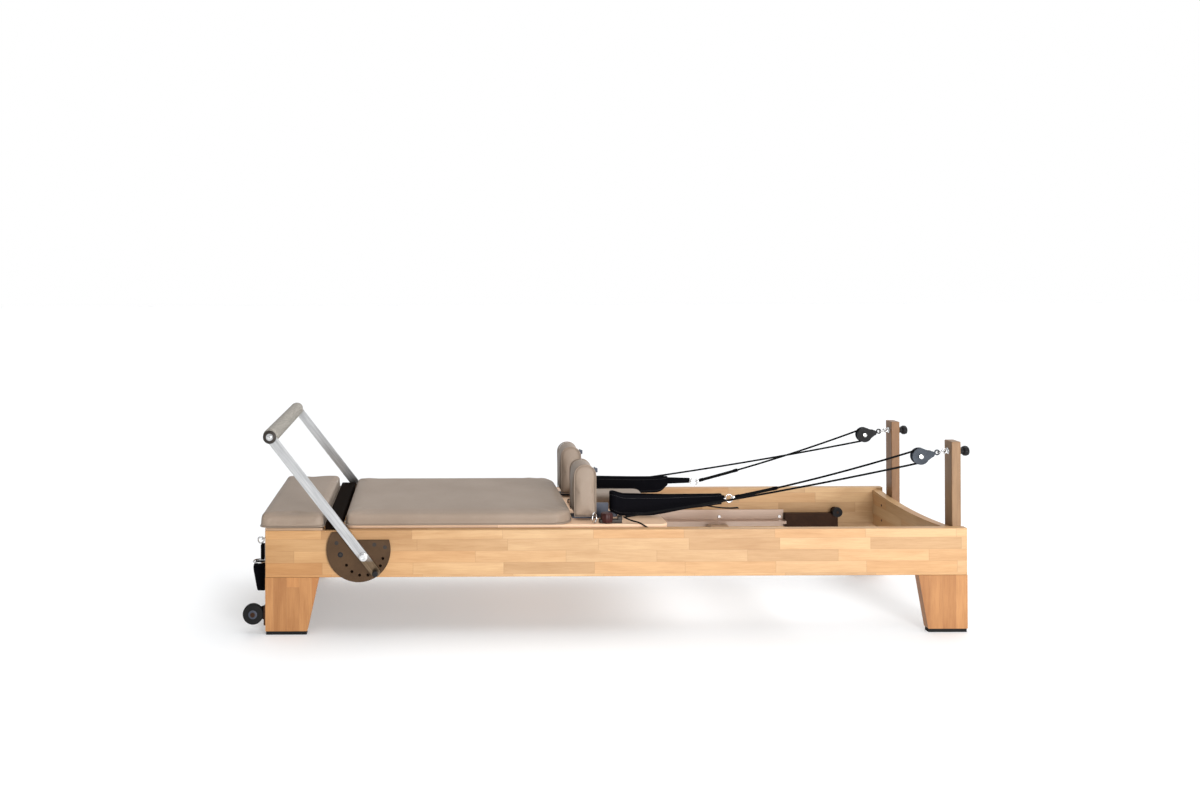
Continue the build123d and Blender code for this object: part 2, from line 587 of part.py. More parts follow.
def make_headrest():
    x, z = HEADREST_HINGE
    board = slab((x + 8, 165.0), (-60.0, 60.0), (364.0, 374.0))
    board += slab((x, x + 8), (-26.0, 26.0), (366.0, 372.0))
    board += rod_y(x, z, (-26.0, 26.0), 5.0)
    save("headrest_board", board - rod_y(x, z, (-30, 30), 3.05))
    pad = slab((-84.0, 160.0), (-62.0, 62.0), (374.0, 413.0))
    pad = eased(pad, 22.0, pad.edges().filter_by(Axis.Z))
    save("headrest_pad", eased(pad, 8.0, pad.edges().group_by(Axis.Z)[-1]))
    hinge = rod_y(x, z, (-40, 40), 3.0)
    for y in ((-40, -27), (27, 40)):
        hinge += slab((x - 6, x + 6), y, (BASE_Z[1], z)) + rod_y(x, z, y, 6.0)
    save("headrest_hinge", hinge)


def main():
    os.makedirs("parts", exist_ok=True)
    for make in (make_side_rails, make_end_boards, make_legs, make_frame_bolts, make_tracks,
                 make_carriage_stops, make_platform, make_footbar_plates, make_footbar,
                 make_springs, make_risers, make_riser_hardware, make_pulleys, make_ropes,
                 make_transport_wheels, make_foot_straps, make_carriage, make_carriage_wheels,
                 make_shoulder_rests, make_straps, make_rope_cleats, make_headrest):
        make()


main()
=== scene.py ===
"""The looks of the pilates reformer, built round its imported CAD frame.

Metres; +X is the head end and -Y the near side."""

from math import acos, asin, atan2, copysign, cos, exp, hypot, pi, radians, sin

import bmesh
import bpy
import numpy as np
from mathutils import Matrix, Vector


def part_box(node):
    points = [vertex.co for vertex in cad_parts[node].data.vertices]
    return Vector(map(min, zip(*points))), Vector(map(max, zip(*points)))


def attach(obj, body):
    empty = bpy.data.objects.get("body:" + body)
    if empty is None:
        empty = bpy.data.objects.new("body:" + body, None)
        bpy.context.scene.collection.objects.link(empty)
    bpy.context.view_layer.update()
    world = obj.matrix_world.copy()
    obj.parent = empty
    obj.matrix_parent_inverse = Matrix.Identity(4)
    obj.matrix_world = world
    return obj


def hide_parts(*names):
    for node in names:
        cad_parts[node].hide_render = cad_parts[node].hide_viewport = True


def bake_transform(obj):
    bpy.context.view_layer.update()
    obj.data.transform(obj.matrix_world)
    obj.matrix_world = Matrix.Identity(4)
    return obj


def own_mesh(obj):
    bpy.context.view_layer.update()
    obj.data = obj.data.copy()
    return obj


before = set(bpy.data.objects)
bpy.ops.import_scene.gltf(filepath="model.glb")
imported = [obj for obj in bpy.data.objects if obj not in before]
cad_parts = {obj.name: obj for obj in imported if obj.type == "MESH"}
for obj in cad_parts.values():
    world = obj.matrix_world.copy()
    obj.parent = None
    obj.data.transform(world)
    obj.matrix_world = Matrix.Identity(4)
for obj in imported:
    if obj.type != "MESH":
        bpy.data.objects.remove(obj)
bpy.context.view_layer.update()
SIDES = (("near", -1), ("far", 1))
PIVOT = (-0.863, 0.270)             # the footbar's pivot in XZ
ARM_ANGLE = 52.2                    # of its arms above the floor, leaning to the foot end
LOCK_HOLE_R = 0.066
LOCK_HOLE_TURNS = (-45.0, -22.0, 0.0, 25.0, 50.0, 75.0, 100.0)


# ---- camera, stage and light ----
def linked(name, data):
    """A new object that shows data, in the scene."""
    made = bpy.data.objects.new(name, data)
    bpy.context.scene.collection.objects.link(made)
    return made


def make_camera():
    data = bpy.data.cameras.new("camera")
    data.sensor_width = 36
    data.lens = 29.52
    data.shift_x = 0.1408
    data.shift_y = -0.1095
    camera = linked("camera", data)
    camera.location = (-0.629, -3.692, 1.2476)
    camera.rotation_euler = (radians(90), 0.004, 0)
    bpy.context.scene.camera = camera


def make_stage():
    """The pale floor, with a low wall far beyond the foot end, where the surround is dim."""
    mesh = bpy.data.meshes.new("floor")
    half, wall = 30.0, 3.4
    corners = [(-half, -half, 0), (half, -half, 0), (half, half, 0), (-half, half, 0),
               (-half, -half, wall), (-half, half, wall)]
    mesh.from_pydata(corners, [], [(0, 1, 2, 3), (0, 3, 5, 4)])
    floor = linked("floor", mesh)
    g = Graph("floor_paint", roughness=0.8, Emission_Color=(1.0, 1.0, 1.0, 1), Emission_Strength=0.24)
    g.colour(g.ramp(g.noise(g.coords(), 0.7), [(0.0, (0.72, 0.735, 0.75)), (1.0, (0.74, 0.75, 0.76))]))
    mesh.materials.append(g.mat)
    bpy.context.scene.view_settings.view_transform = "Standard"


def make_lights():
    """A wide lamp low in front of the head end, and a very soft sun above."""
    lamp = bpy.data.lights.new("key", "AREA")
    lamp.shape = "DISK"
    lamp.size = 2.4
    lamp.energy = 430
    key = linked("key", lamp)
    key.location = (2.2, -6.2, 1.1)
    aim = Vector((0.3, 0, 0.3)) - key.location
    key.rotation_euler = aim.to_track_quat("-Z", "Y").to_euler()
    sun = bpy.data.lights.new("overhead", "SUN")
    sun.energy = 2.1
    sun.angle = radians(75)
    linked("overhead", sun).rotation_euler = (radians(-8), radians(10), 0)


def make_studio():
    """A white surround, dimmer overhead and towards the foot end, so that upright faces read brightest."""
    world = bpy.data.worlds.new("studio")
    bpy.context.scene.world = world
    world.use_nodes = True
    tree = world.node_tree
    background = tree.nodes["Background"]
    direction = tree.nodes.new("ShaderNodeTexCoord").outputs["Generated"]
    split = tree.nodes.new("ShaderNodeSeparateXYZ")
    tree.links.new(direction, split.inputs["Vector"])
    fades = (("Z", (0.34, 0.75), 0.40), ("X", (-0.46, -0.62), 0.06), ("Y", (0.15, -0.3), 0.65))
    strength = None
    for axis, (full, dim), level in fades:
        fade = tree.nodes.new("ShaderNodeMapRange")
        tree.links.new(split.outputs[axis], fade.inputs["Value"])
        for socket, value in (("From Min", full), ("From Max", dim), ("To Min", 1.0), ("To Max", level)):
            fade.inputs[socket].default_value = value
        product = tree.nodes.new("ShaderNodeMath")
        product.operation = "MULTIPLY"
        product.inputs[0].default_value = 1.0
        if strength is not None:
            tree.links.new(strength, product.inputs[0])
        tree.links.new(fade.outputs[0], product.inputs[1])
        strength = product.outputs[0]
    tree.links.new(strength, background.inputs["Strength"])
    background.inputs["Color"].default_value = (1.0, 1.0, 1.0, 1)


# ---- material graphs ----
class Graph:
    """A material's node tree round one Principled shader, with short calls for the nodes that it needs."""

    def __init__(self, name, roughness=0.5, metallic=0.0, **sockets):
        self.mat = bpy.data.materials.new(name)
        self.mat.use_nodes = True
        self.tree = self.mat.node_tree
        self.shader = self.tree.nodes["Principled BSDF"]
        self.shader.inputs["Roughness"].default_value = roughness
        self.shader.inputs["Metallic"].default_value = metallic
        for socket, value in sockets.items():
            self.shader.inputs[socket.replace("_", " ")].default_value = value

    def node(self, kind, inputs=(), **settings):
        made = self.tree.nodes.new(kind)
        for key, value in settings.items():
            setattr(made, key, value)
        for key, value in dict(inputs).items():
            if isinstance(value, bpy.types.NodeSocket):
                self.tree.links.new(value, made.inputs[key])
            else:
                made.inputs[key].default_value = value
        return made

    def coords(self):
        """Places on the piece in its own frame."""
        return self.node("ShaderNodeTexCoord").outputs["Object"]

    def turned(self, order):
        """The piece's own axes in another order, such as "zxy", so that the grain runs along the first."""
        axes = self.split(self.coords())
        parts = [axes[axis.upper()] for axis in order]
        return self.node("ShaderNodeCombineXYZ", dict(zip("XYZ", parts))).outputs["Vector"]

    def split(self, vector):
        return self.node("ShaderNodeSeparateXYZ", {"Vector": vector}).outputs

    def scaled(self, vector, scale):
        return self.node("ShaderNodeVectorMath", {0: vector, 1: scale}, operation="MULTIPLY").outputs[0]

    def sum(self, a, b):
        return self.node("ShaderNodeVectorMath", {0: a, 1: b}, operation="ADD").outputs[0]

    def math(self, operation, a, b=0.0):
        return self.node("ShaderNodeMath", {0: a, 1: b}, operation=operation).outputs[0]

    def noise(self, vector, scale, detail=4.0, roughness=0.55):
        return self.node("ShaderNodeTexNoise", {
            "Vector": vector, "Scale": scale, "Detail": detail, "Roughness": roughness}).outputs["Fac"]

    def voronoi(self, vector, scale):
        return self.node("ShaderNodeTexVoronoi", {"Vector": vector, "Scale": scale}).outputs["Distance"]

    def ramp(self, factor, stops):
        made = self.node("ShaderNodeValToRGB", {"Fac": factor})
        elements = made.color_ramp.elements
        while len(elements) < len(stops):
            elements.new(0.5)
        for element, (place, colour) in zip(elements, stops):
            element.position = place
            element.color = (*colour, 1)
        return made.outputs["Color"]

    def mix(self, factor, a, b, blend="MIX"):
        made = self.node("ShaderNodeMix", {0: factor, 6: a, 7: b}, data_type="RGBA", blend_type=blend)
        return made.outputs[2]

    def remap(self, value, low, high, start=0.0, end=1.0):
        """The value's range from start to end, laid on low to high."""
        return self.node("ShaderNodeMapRange", {
            "Value": value, "From Min": start, "From Max": end, "To Min": low, "To Max": high}).outputs[0]

    def colour(self, value):
        self.tree.links.new(value, self.shader.inputs["Base Color"])

    def rough(self, value, low, high):
        self.tree.links.new(self.remap(value, low, high), self.shader.inputs["Roughness"])

    def bump(self, height, strength, distance, below=None):
        made = self.node("ShaderNodeBump", {"Height": height, "Strength": strength, "Distance": distance})
        if below is not None:
            self.tree.links.new(below, made.inputs["Normal"])
        self.tree.links.new(made.outputs["Normal"], self.shader.inputs["Normal"])
        return made.outputs["Normal"]


STAVE_TONES = [(0.0, (0.82, 0.74, 0.66)), (0.3, (1.0, 0.97, 0.93)), (0.6, (1.0, 0.88, 0.76)),
               (0.8, (1.08, 1.06, 1.02)), (1.0, (0.92, 0.76, 0.60))]


def staved_wood(name, order, stave, light, dark, seed, foot_end_shade_and_tone=0.0):
    """Finger-jointed lacquered wood: staves of varied tone, with the grain along the first axis of order.

    Towards the foot end it turns darker and warmer, by the share given: partly the boards' own tone, partly
    painted shade where the light falls off."""
    g = Graph(name, roughness=0.42, Specular_IOR_Level=0.3, Coat_Weight=0.08, Coat_Roughness=0.25)
    along_grain = g.turned(order)
    axes = g.split(along_grain)
    length, width = stave
    across = g.math("ADD", axes["Y"], axes["Z"])
    rows = g.math("DIVIDE", g.math("ADD", across, seed), width)
    row = g.math("FLOOR", rows)
    shift = g.node("ShaderNodeTexWhiteNoise", {"W": row}, noise_dimensions="1D").outputs["Value"]
    run = g.math("ADD", g.math("DIVIDE", axes["X"], length), g.math("MULTIPLY", shift, 7.3))
    column = g.math("FLOOR", run)
    cell = g.node("ShaderNodeCombineXYZ", {"X": column, "Y": row, "Z": seed}).outputs["Vector"]
    random = g.node("ShaderNodeTexWhiteNoise", {"Vector": cell}, noise_dimensions="3D")
    moved = g.sum(along_grain, g.scaled(random.outputs["Color"], (3.0, 3.0, 3.0)))
    figure = g.noise(g.scaled(moved, (5.0, 34.0, 34.0)), 1.0, 5.0, 0.6)
    fine = g.noise(g.scaled(moved, (14.0, 420.0, 420.0)), 1.0, 3.0, 0.7)
    broad_grain = g.ramp(figure, [(0.30, dark), (0.62, light)])
    grain = g.mix(0.35, broad_grain, g.ramp(fine, [(0.35, dark), (0.6, light)]))
    tinted = g.mix(1.0, grain, g.ramp(random.outputs["Value"], STAVE_TONES), "MULTIPLY")
    # darker and warmer towards the foot end: the boards' tone with painted shade where the light falls off
    if foot_end_shade_and_tone:
        share = g.remap(g.split(g.coords())["X"], 0.0, foot_end_shade_and_tone, -0.35, -1.2)
        tinted = g.mix(share, tinted, g.mix(1.0, tinted, (0.82, 0.71, 0.56, 1), "MULTIPLY"))
    joint = g.math("LESS_THAN", g.math("PINGPONG", run, 0.5), 0.0012 / length)
    seam = g.math("LESS_THAN", g.math("PINGPONG", rows, 0.5), 0.0007 / width)
    line = g.math("MAXIMUM", joint, seam)
    g.colour(g.mix(g.math("MULTIPLY", line, 0.22), tinted, (0.20, 0.10, 0.045, 1)))
    g.rough(fine, 0.36, 0.52)
    pores = g.bump(fine, 0.10, 0.0006)
    g.bump(g.math("SUBTRACT", 1.0, line), 0.25, 0.0004, pores)
    return g.mat


def leatherette(name, light, dark):
    """Matte stretched vinyl with a fine pebble grain, its valleys darkened as painted shade."""
    g = Graph(name, roughness=0.5, Specular_IOR_Level=0.25, Sheen_Weight=0.05, Sheen_Roughness=0.5)
    place = g.coords()
    cloud = g.noise(place, 5.0, 3.0)
    pebble = g.voronoi(place, 620.0)
    crease = g.noise(place, 190.0, 5.0, 0.65)
    soft = g.ramp(cloud, [(0.3, dark), (0.7, light)])
    # painted shade: the pebble grain's valleys a little darker
    valley_shade = g.ramp(pebble, [(0.0, (1.0, 1.0, 1.0)), (0.75, (0.86, 0.85, 0.84))])
    g.colour(g.mix(1.0, soft, valley_shade, "MULTIPLY"))
    g.rough(crease, 0.44, 0.60)
    grain = g.bump(pebble, 0.22, 0.0006)
    g.bump(crease, 0.16, 0.0008, grain)
    return g.mat


def brushed_metal(name, light, dark, stretch, roughness, turn=0.0, plate_reflection_below=None):
    """Brushed metal, with its streaks turned about Y; below a given height it is painted dark bronze brown, a
    painted reflection of the dark plate beside it.
    """
    g = Graph(name, metallic=1.0)
    place = g.node("ShaderNodeVectorRotate", {"Vector": g.coords(), "Angle": radians(turn)},
                   rotation_type="Y_AXIS").outputs["Vector"]
    streak = g.noise(g.scaled(place, stretch), 1.0, 4.0, 0.7)
    cloud = g.noise(place, 9.0, 3.0)
    bright = g.mix(g.remap(cloud, 0.0, 0.5), g.ramp(streak, [(0.3, dark), (0.7, light)]), (*light, 1))
    if plate_reflection_below is not None:
        # below that height: a painted reflection of the dark footbar plate, in dark bronze brown
        share = g.remap(g.split(g.coords())["Z"], 0.0, 1.0, plate_reflection_below + 0.02, plate_reflection_below - 0.01)
        bronze = g.ramp(streak, [(0.3, (0.09, 0.06, 0.035)), (0.7, (0.22, 0.155, 0.10))])
        bright = g.mix(share, bright, bronze)
    g.colour(bright)
    g.rough(streak, *roughness)
    g.bump(streak, 0.06, 0.0003)
    return g.mat


def coated_metal(name, light, dark, roughness=(0.38, 0.55), metallic=0.2, specular=0.15):
    """Powder coat: a fine orange peel over an even colour, worn a little paler at scuffs."""
    g = Graph(name, metallic=metallic, Specular_IOR_Level=specular)
    place = g.coords()
    peel = g.noise(place, 900.0, 3.0)
    cloud = g.noise(place, 14.0, 5.0, 0.7)
    g.colour(g.ramp(cloud, [(0.32, dark), (0.72, light)]))
    g.rough(cloud, *roughness)
    g.bump(peel, 0.12, 0.0004)
    return g.mat


def moulded(name, light, dark, roughness=(0.35, 0.55), scale=1500.0):
    """Moulded plastic or rubber with a fine spark texture."""
    g = Graph(name, Specular_IOR_Level=0.18)
    place = g.coords()
    spark = g.noise(place, scale, 2.0)
    cloud = g.noise(place, 22.0, 4.0)
    g.colour(g.ramp(cloud, [(0.3, dark), (0.75, light)]))
    g.rough(cloud, *roughness)
    g.bump(spark, 0.14, 0.0003)
    return g.mat


def foam_sleeve(name, light, dark):
    """Textured grip sleeve: a pale speckled rubber skin with a small diamond relief."""
    g = Graph(name, roughness=0.7)
    place = g.coords()
    speck = g.noise(place, 210.0, 4.0, 0.75)
    cell = g.voronoi(place, 260.0)
    cloud = g.noise(place, 18.0, 3.0)
    base = g.ramp(speck, [(0.36, dark), (0.62, light)])
    g.colour(g.mix(g.remap(cloud, 0.0, 0.3), base, (*dark, 1)))
    g.rough(speck, 0.6, 0.82)
    low = g.bump(cell, 0.45, 0.0012)
    g.bump(speck, 0.3, 0.0006, low)
    return g.mat


def woven(name, light, dark, pitch):
    """Black webbing or braid: small over and under cells, pitch apart, painted lighter on the raised cells
    and darker between them as painted shade.
    """
    g = Graph(name, roughness=0.9, Specular_IOR_Level=0.05)
    axes = g.split(g.turned("xzy"))
    turn = 2 * pi / pitch
    warp, weft = (g.math("SINE", g.math("MULTIPLY", g.math(sign, axes["X"], axes["Y"]), turn))
                  for sign in ("ADD", "SUBTRACT"))
    cells = g.math("MAXIMUM", warp, weft)
    fuzz = g.noise(g.coords(), 700.0, 3.0)
    # painted shade: darker between the raised cells of the weave
    g.colour(g.mix(g.remap(fuzz, 0.0, 0.6), g.ramp(cells, [(0.2, dark), (1.0, light)]), (*dark, 1)))
    g.rough(fuzz, 0.62, 0.85)
    g.bump(cells, 0.35, pitch * 0.2)
    return g.mat


def make_materials():
    cream, tan = (0.53, 0.355, 0.195), (0.41, 0.245, 0.118)
    made = {
        # the side rails carry painted shade towards the foot end, with a warmer tone
        "rail_x": staved_wood("rail_wood_x", "xzy", (0.31, 0.040), cream, tan, 0.005, foot_end_shade_and_tone=0.85),
        "rail_y": staved_wood("rail_wood_y", "yzx", (0.31, 0.040), cream, tan, 0.031),
        "leg": staved_wood("leg_wood", "zxy", (0.6, 0.044), (0.44, 0.22, 0.085), (0.29, 0.125, 0.042), 0.006),
        "riser": staved_wood("riser_wood", "zxy", (0.9, 0.08), (0.27, 0.165, 0.088), (0.16, 0.088, 0.042),
                             0.05),
        "board": staved_wood("board_wood", "xyz", (0.8, 0.12), (0.40, 0.28, 0.19), (0.28, 0.18, 0.11), 0.02),
        "base": staved_wood("base_board", "xyz", (1.6, 0.30), (0.78, 0.57, 0.42), (0.69, 0.49, 0.355), 0.02),
        "leather": leatherette("upholstery", (0.305, 0.238, 0.186), (0.262, 0.200, 0.152)),
        # the arm's lower end carries a painted reflection of the dark footbar plate
        "steel_arm": brushed_metal("brushed_steel", (0.62, 0.62, 0.62), (0.24, 0.24, 0.25), (7, 60, 230),
                                   (0.22, 0.40), turn=-ARM_ANGLE, plate_reflection_below=0.262),
        "steel_bright": brushed_metal("bright_steel", (0.78, 0.78, 0.78), (0.60, 0.60, 0.61), (300, 300, 300),
                                      (0.14, 0.30)),
        "steel_dark": coated_metal("dark_steel", (0.045, 0.038, 0.034), (0.022, 0.018, 0.016)),
        "bronze": coated_metal("bronze_paint", (0.078, 0.043, 0.021), (0.050, 0.027, 0.013), (0.4, 0.6), 0.1),
        "stop": coated_metal("stop_paint", (0.050, 0.021, 0.010), (0.028, 0.012, 0.006)),
        "track": brushed_metal("track_aluminium", (0.52, 0.40, 0.33), (0.42, 0.315, 0.25), (20, 600, 600),
                               (0.4, 0.6)),
        "rest_steel": coated_metal("rest_steel", (0.075, 0.082, 0.105), (0.048, 0.053, 0.070), (0.35, 0.5)),
        # near-black: the spring bar's dark paint, darkened further as painted shade of the recess it sits in
        "cover": coated_metal("cover_paint_and_shade", (0.008, 0.004, 0.002), (0.004, 0.002, 0.001), (0.7, 0.85), 0.0,
                              specular=0.02),
        "knob_red": moulded("cleat_knob", (0.060, 0.018, 0.015), (0.028, 0.008, 0.008)),
        "sheave": moulded("sheave_plastic", (0.080, 0.098, 0.135), (0.040, 0.050, 0.070), (0.25, 0.4)),
        "plastic": moulded("black_plastic", (0.014, 0.013, 0.014), (0.006, 0.006, 0.007)),
        "block": moulded("pulley_plastic", (0.040, 0.050, 0.066), (0.017, 0.021, 0.029), (0.25, 0.4)),
        "tyre": moulded("black_rubber", (0.010, 0.009, 0.009), (0.004, 0.004, 0.004), (0.6, 0.8), 700.0),
        "grip": foam_sleeve("grip_foam", (0.46, 0.43, 0.38), (0.10, 0.088, 0.072)),
        "rope": woven("rope_braid", (0.010, 0.010, 0.011), (0.002, 0.002, 0.002), 0.0055),
        "strap": woven("strap_webbing", (0.0035, 0.0035, 0.0060), (0.0012, 0.0012, 0.0022), 0.0026),
    }
    g = Graph("thread", roughness=0.7)
    g.colour(g.ramp(g.noise(g.coords(), 900.0), [(0.3, (0.02, 0.02, 0.022)), (0.7, (0.045, 0.045, 0.05))]))
    made["thread"] = g.mat
    return made


def both(*stems):
    return [f"{stem}_{name}" for stem in stems for name, _ in SIDES]


NODE_MATERIALS = {
    "rail_x": both("side_rail"),
    "rail_y": ["head_board", "foot_board"],
    "leg": both("leg_head", "leg_foot"),
    "riser": both("riser"),
    "board": ["cross_members", "platform_board", "headrest_board"],
    "base": ["carriage_base"],
    "steel_arm": both("footbar_arm") + ["footbar_tube"],
    "steel_bright": ["riser_eye_bolts", "foot_strap_hooks", "footbar_pivot_bolts", "track_screws"],
    "steel_dark": ["wheel_brackets", "spring_hook_bar", "headrest_hinge", "frame_bolts"],
    "rest_steel": ["rest_brackets"],
    # the spring bar's near-black is its dark paint with painted shade
    "cover": ["spring_bar"],
    "bronze": both("footbar_plate"),
    "stop": ["carriage_stops", "transport_brackets"],
    "track": ["carriage_tracks"],
    "plastic": both("lock_pin") + ["stop_knobs", "carriage_wheels_head", "carriage_wheels_foot",
                                   "pulley_block_far"],
    "block": ["pulley_block_near"],
    "sheave": both("sheave"),
    "tyre": both("transport_wheel") + ["foot_glides"],
}


def dress_cad_nodes():
    for key, nodes in NODE_MATERIALS.items():
        for node in nodes:
            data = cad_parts[node].data
            data.materials.clear()
            data.materials.append(MATERIALS[key])


# ---- mesh helpers ----
def all_smooth(mesh):
    mesh.polygons.foreach_set("use_smooth", [True] * len(mesh.polygons))


def new_piece(name, verts, faces, material):
    """A smooth-shaded piece with its faces turned outwards."""
    mesh = bpy.data.meshes.new(name)
    mesh.from_pydata([tuple(v) for v in verts], [], faces)
    mesh.validate()
    all_smooth(mesh)
    mesh.materials.append(MATERIALS[material])
    bm = bmesh.new()
    bm.from_mesh(mesh)
    bmesh.ops.recalc_face_normals(bm, faces=bm.faces)
    bm.to_mesh(mesh)
    bm.free()
    return linked(name, mesh)


def evaluated_mesh(obj):
    """A new mesh of the object as its modifiers or its curve's section leave it."""
    depsgraph = bpy.context.evaluated_depsgraph_get()
    return bpy.data.meshes.new_from_object(obj.evaluated_get(depsgraph))


def apply_modifiers(obj):
    mesh = evaluated_mesh(obj)
    obj.modifiers.clear()
    old = obj.data
    obj.data = mesh
    bpy.data.meshes.remove(old)


def modified(obj, kind, **settings):
    """One modifier, set and applied."""
    modifier = obj.modifiers.new(kind.lower(), kind)
    for key, value in settings.items():
        setattr(modifier, key, value)
    apply_modifiers(obj)


def crisp(obj, angle):
    """Smooth faces that keep the edges sharper than the angle."""
    limit = radians(angle)
    bm = bmesh.new()
    bm.from_mesh(obj.data)
    for edge in bm.edges:
        edge.smooth = not (len(edge.link_faces) == 2 and edge.calc_face_angle() > limit)
    for face in bm.faces:
        face.smooth = True
    bm.to_mesh(obj.data)
    bm.free()
    return obj


def bevelled(obj, width, segments=2):
    modified(obj, "BEVEL", width=width, segments=segments, limit_method="ANGLE", angle_limit=radians(35))
    return crisp(obj, 50)


def prism(name, outline, low, high, axis, material):
    """A 2D outline pushed along axis ("y" or "z") from low to high."""
    def place(point, level):
        return (point[0], level, point[1]) if axis == "y" else (point[0], point[1], level)
    n = len(outline)
    verts = [place(p, low) for p in outline] + [place(p, high) for p in outline]
    faces = [tuple(range(n)), tuple(range(2 * n - 1, n - 1, -1))]
    faces += [(i, i + n, (i + 1) % n + n, (i + 1) % n) for i in range(n)]
    return new_piece(name, verts, faces, material)


def rounded_box(x, y, radii, steps=8):
    """A rectangle's outline with its own corner radii, from the low-x low-y corner, counter-clockwise."""
    corners = [(x[0], y[0], 180), (x[1], y[0], 270), (x[1], y[1], 0), (x[0], y[1], 90)]
    points = []
    for (cx, cy, start), r in zip(corners, radii):
        mx = cx + r if cx == x[0] else cx - r
        my = cy + r if cy == y[0] else cy - r
        for i in range(steps + 1):
            a = radians(start + 90 * i / steps)
            points.append((mx + r * cos(a), my + r * sin(a)))
    return points


def ring_faces(rows, count, start=0, closed=False):
    """The faces between rings of count points, capped at both ends or closed into a loop."""
    faces = []
    for j in range(rows if closed else rows - 1):
        near, far = start + j * count, start + (j + 1) % rows * count
        faces += [(near + i, near + (i + 1) % count, far + (i + 1) % count, far + i) for i in range(count)]
    if not closed:
        faces.append(tuple(start + i for i in reversed(range(count))))
        faces.append(tuple(start + (rows - 1) * count + i for i in range(count)))
    return faces


def lathe(name, profile, origin, axis, material, segments, lobes=0, depth=0.0):
    """A profile of (distance along axis, radius) turned about the axis, with optional grip lobes."""
    direction = Vector(axis).normalized()
    turn = direction.to_track_quat("Z", "Y").to_matrix()
    verts = []
    for along, radius in profile:
        for i in range(segments):
            a = 2 * pi * i / segments
            r = radius * (1 + depth * cos(lobes * a)) if lobes else radius
            verts.append(Vector(origin) + turn @ Vector((r * cos(a), r * sin(a), along)))
    return crisp(new_piece(name, verts, ring_faces(len(profile), segments), material), 40)


def wire(name, points, radius, material, kind="NURBS", closed=False, resolution=8, sides=4):
    """A round bar or cord through or along points, as a mesh, and the points of its own centre line."""
    data = bpy.data.curves.new(name + "_line", "CURVE")
    data.dimensions = "3D"
    data.bevel_resolution = sides
    data.use_fill_caps = True
    data.resolution_u = resolution
    spline = data.splines.new(kind)
    spline.points.add(len(points) - 1)
    for made, point in zip(spline.points, points):
        made.co = (*point, 1)
    if kind == "NURBS":
        spline.order_u = 3
        spline.use_endpoint_u = not closed
    spline.use_cyclic_u = closed
    line = linked(name + "_line", data)
    path = [v.co.copy() for v in evaluated_mesh(line).vertices]
    data.bevel_depth = radius
    data.update_tag()
    bpy.context.view_layer.update()
    mesh = evaluated_mesh(line)
    bpy.data.objects.remove(line)
    all_smooth(mesh)
    mesh.materials.clear()
    mesh.materials.append(MATERIALS[material])
    return linked(name, mesh), path


def joined(name, objects):
    """Several meshes as one piece."""
    bm = bmesh.new()
    materials = []
    for obj in objects:
        material = obj.data.materials[0]
        if material not in materials:
            materials.append(material)
        index = materials.index(material)
        start = len(bm.faces)
        mesh = obj.data
        mesh.transform(obj.matrix_world)
        bm.from_mesh(mesh)
        bm.faces.ensure_lookup_table()
        for face in bm.faces[start:]:
            face.material_index = index
    mesh = bpy.data.meshes.new(name)
    bm.to_mesh(mesh)
    bm.free()
    for material in materials:
        mesh.materials.append(material)
    for obj in objects:
        bpy.data.objects.remove(obj)
    return linked(name, mesh)


def keep(obj, body, slot, *nodes):
    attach(obj, body)
    if nodes:
        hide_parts(*nodes)


def if_near(name, node):
    """A node that the near and the far piece stand for together is named by the near one."""
    return [node] if name == "near" else []


# ---- ropes ----
# The route of each rope at the far side, as in the CAD source: cleat, sheave, strap. Near is its mirror.
ROPE_R = 0.0035
ROPE_ANCHOR = (0.045, 0.262, 0.382)
STRAP_END = {"near": (0.454, 0.175, 0.429), "far": (0.421, 0.175, 0.413)}
PULLEY = (1.090, 0.225, 0.582)
PULLEY_TILT = 12.0
PULLEY_YAW = 1.2
ROPE_LINE_R = 0.0233
ROPE_SAG = 0.018                    # of a run's middle control point: the rope hangs by half of it


def pulley_matrix(side):
    yaw = Matrix.Rotation(radians(PULLEY_YAW), 4, "Z")
    tilt = Matrix.Rotation(radians(-PULLEY_TILT), 4, "Y")
    return Matrix.Diagonal((1, side, 1, 1)) @ (Matrix.Translation(PULLEY) @ (yaw @ tilt))


def tangent_angle(goal, side):
    """Where, round the sheave, a run to the goal leaves it on its upper (+1) or lower (-1) side."""
    local = pulley_matrix(1).inverted() @ Vector(goal)
    reach = hypot(local.x, local.z)
    return atan2(local.z, local.x) - side * acos(ROPE_LINE_R / reach)


def sheave_point(angle, side, radius=ROPE_LINE_R):
    return pulley_matrix(side) @ Vector((radius * cos(angle), 0, radius * sin(angle)))


def squash_to_pulley(obj):
    """Gives the piece a mesh of its own."""
    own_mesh(obj)


def make_rope(name, side):
    low = tangent_angle(ROPE_ANCHOR, -1)
    high = tangent_angle(STRAP_END[name], 1)
    mirror = Vector((1, side, 1))
    corners = 8
    step = ((high - low) % (2 * pi)) / corners
    outside = ROPE_LINE_R / cos(step / 2)
    arc = [sheave_point(low, side)]
    arc += [sheave_point(low + step * (i + 0.5), side, outside) for i in range(corners)]
    arc.append(sheave_point(high, side))
    wrap, _ = wire(f"rope_wrap_{name}", arc, ROPE_R, "rope")
    keep(wrap, "frame", "rope")
    runs = []
    for part, goal, leave in (("cleat", ROPE_ANCHOR, arc[0]), ("strap", STRAP_END[name], arc[-1])):
        start = Vector(goal) * mirror
        points = [start, (start + leave) / 2 - Vector((0, 0, ROPE_SAG)), leave]
        run, path = wire(f"rope_{part}_run_{name}", points, ROPE_R, "rope", resolution=24)
        keep(run, "frame", "rope", f"rope_{name}")
        squash_to_pulley(run)
        runs.append((path, leave))
    make_rope_sleeve(name, *runs[1])


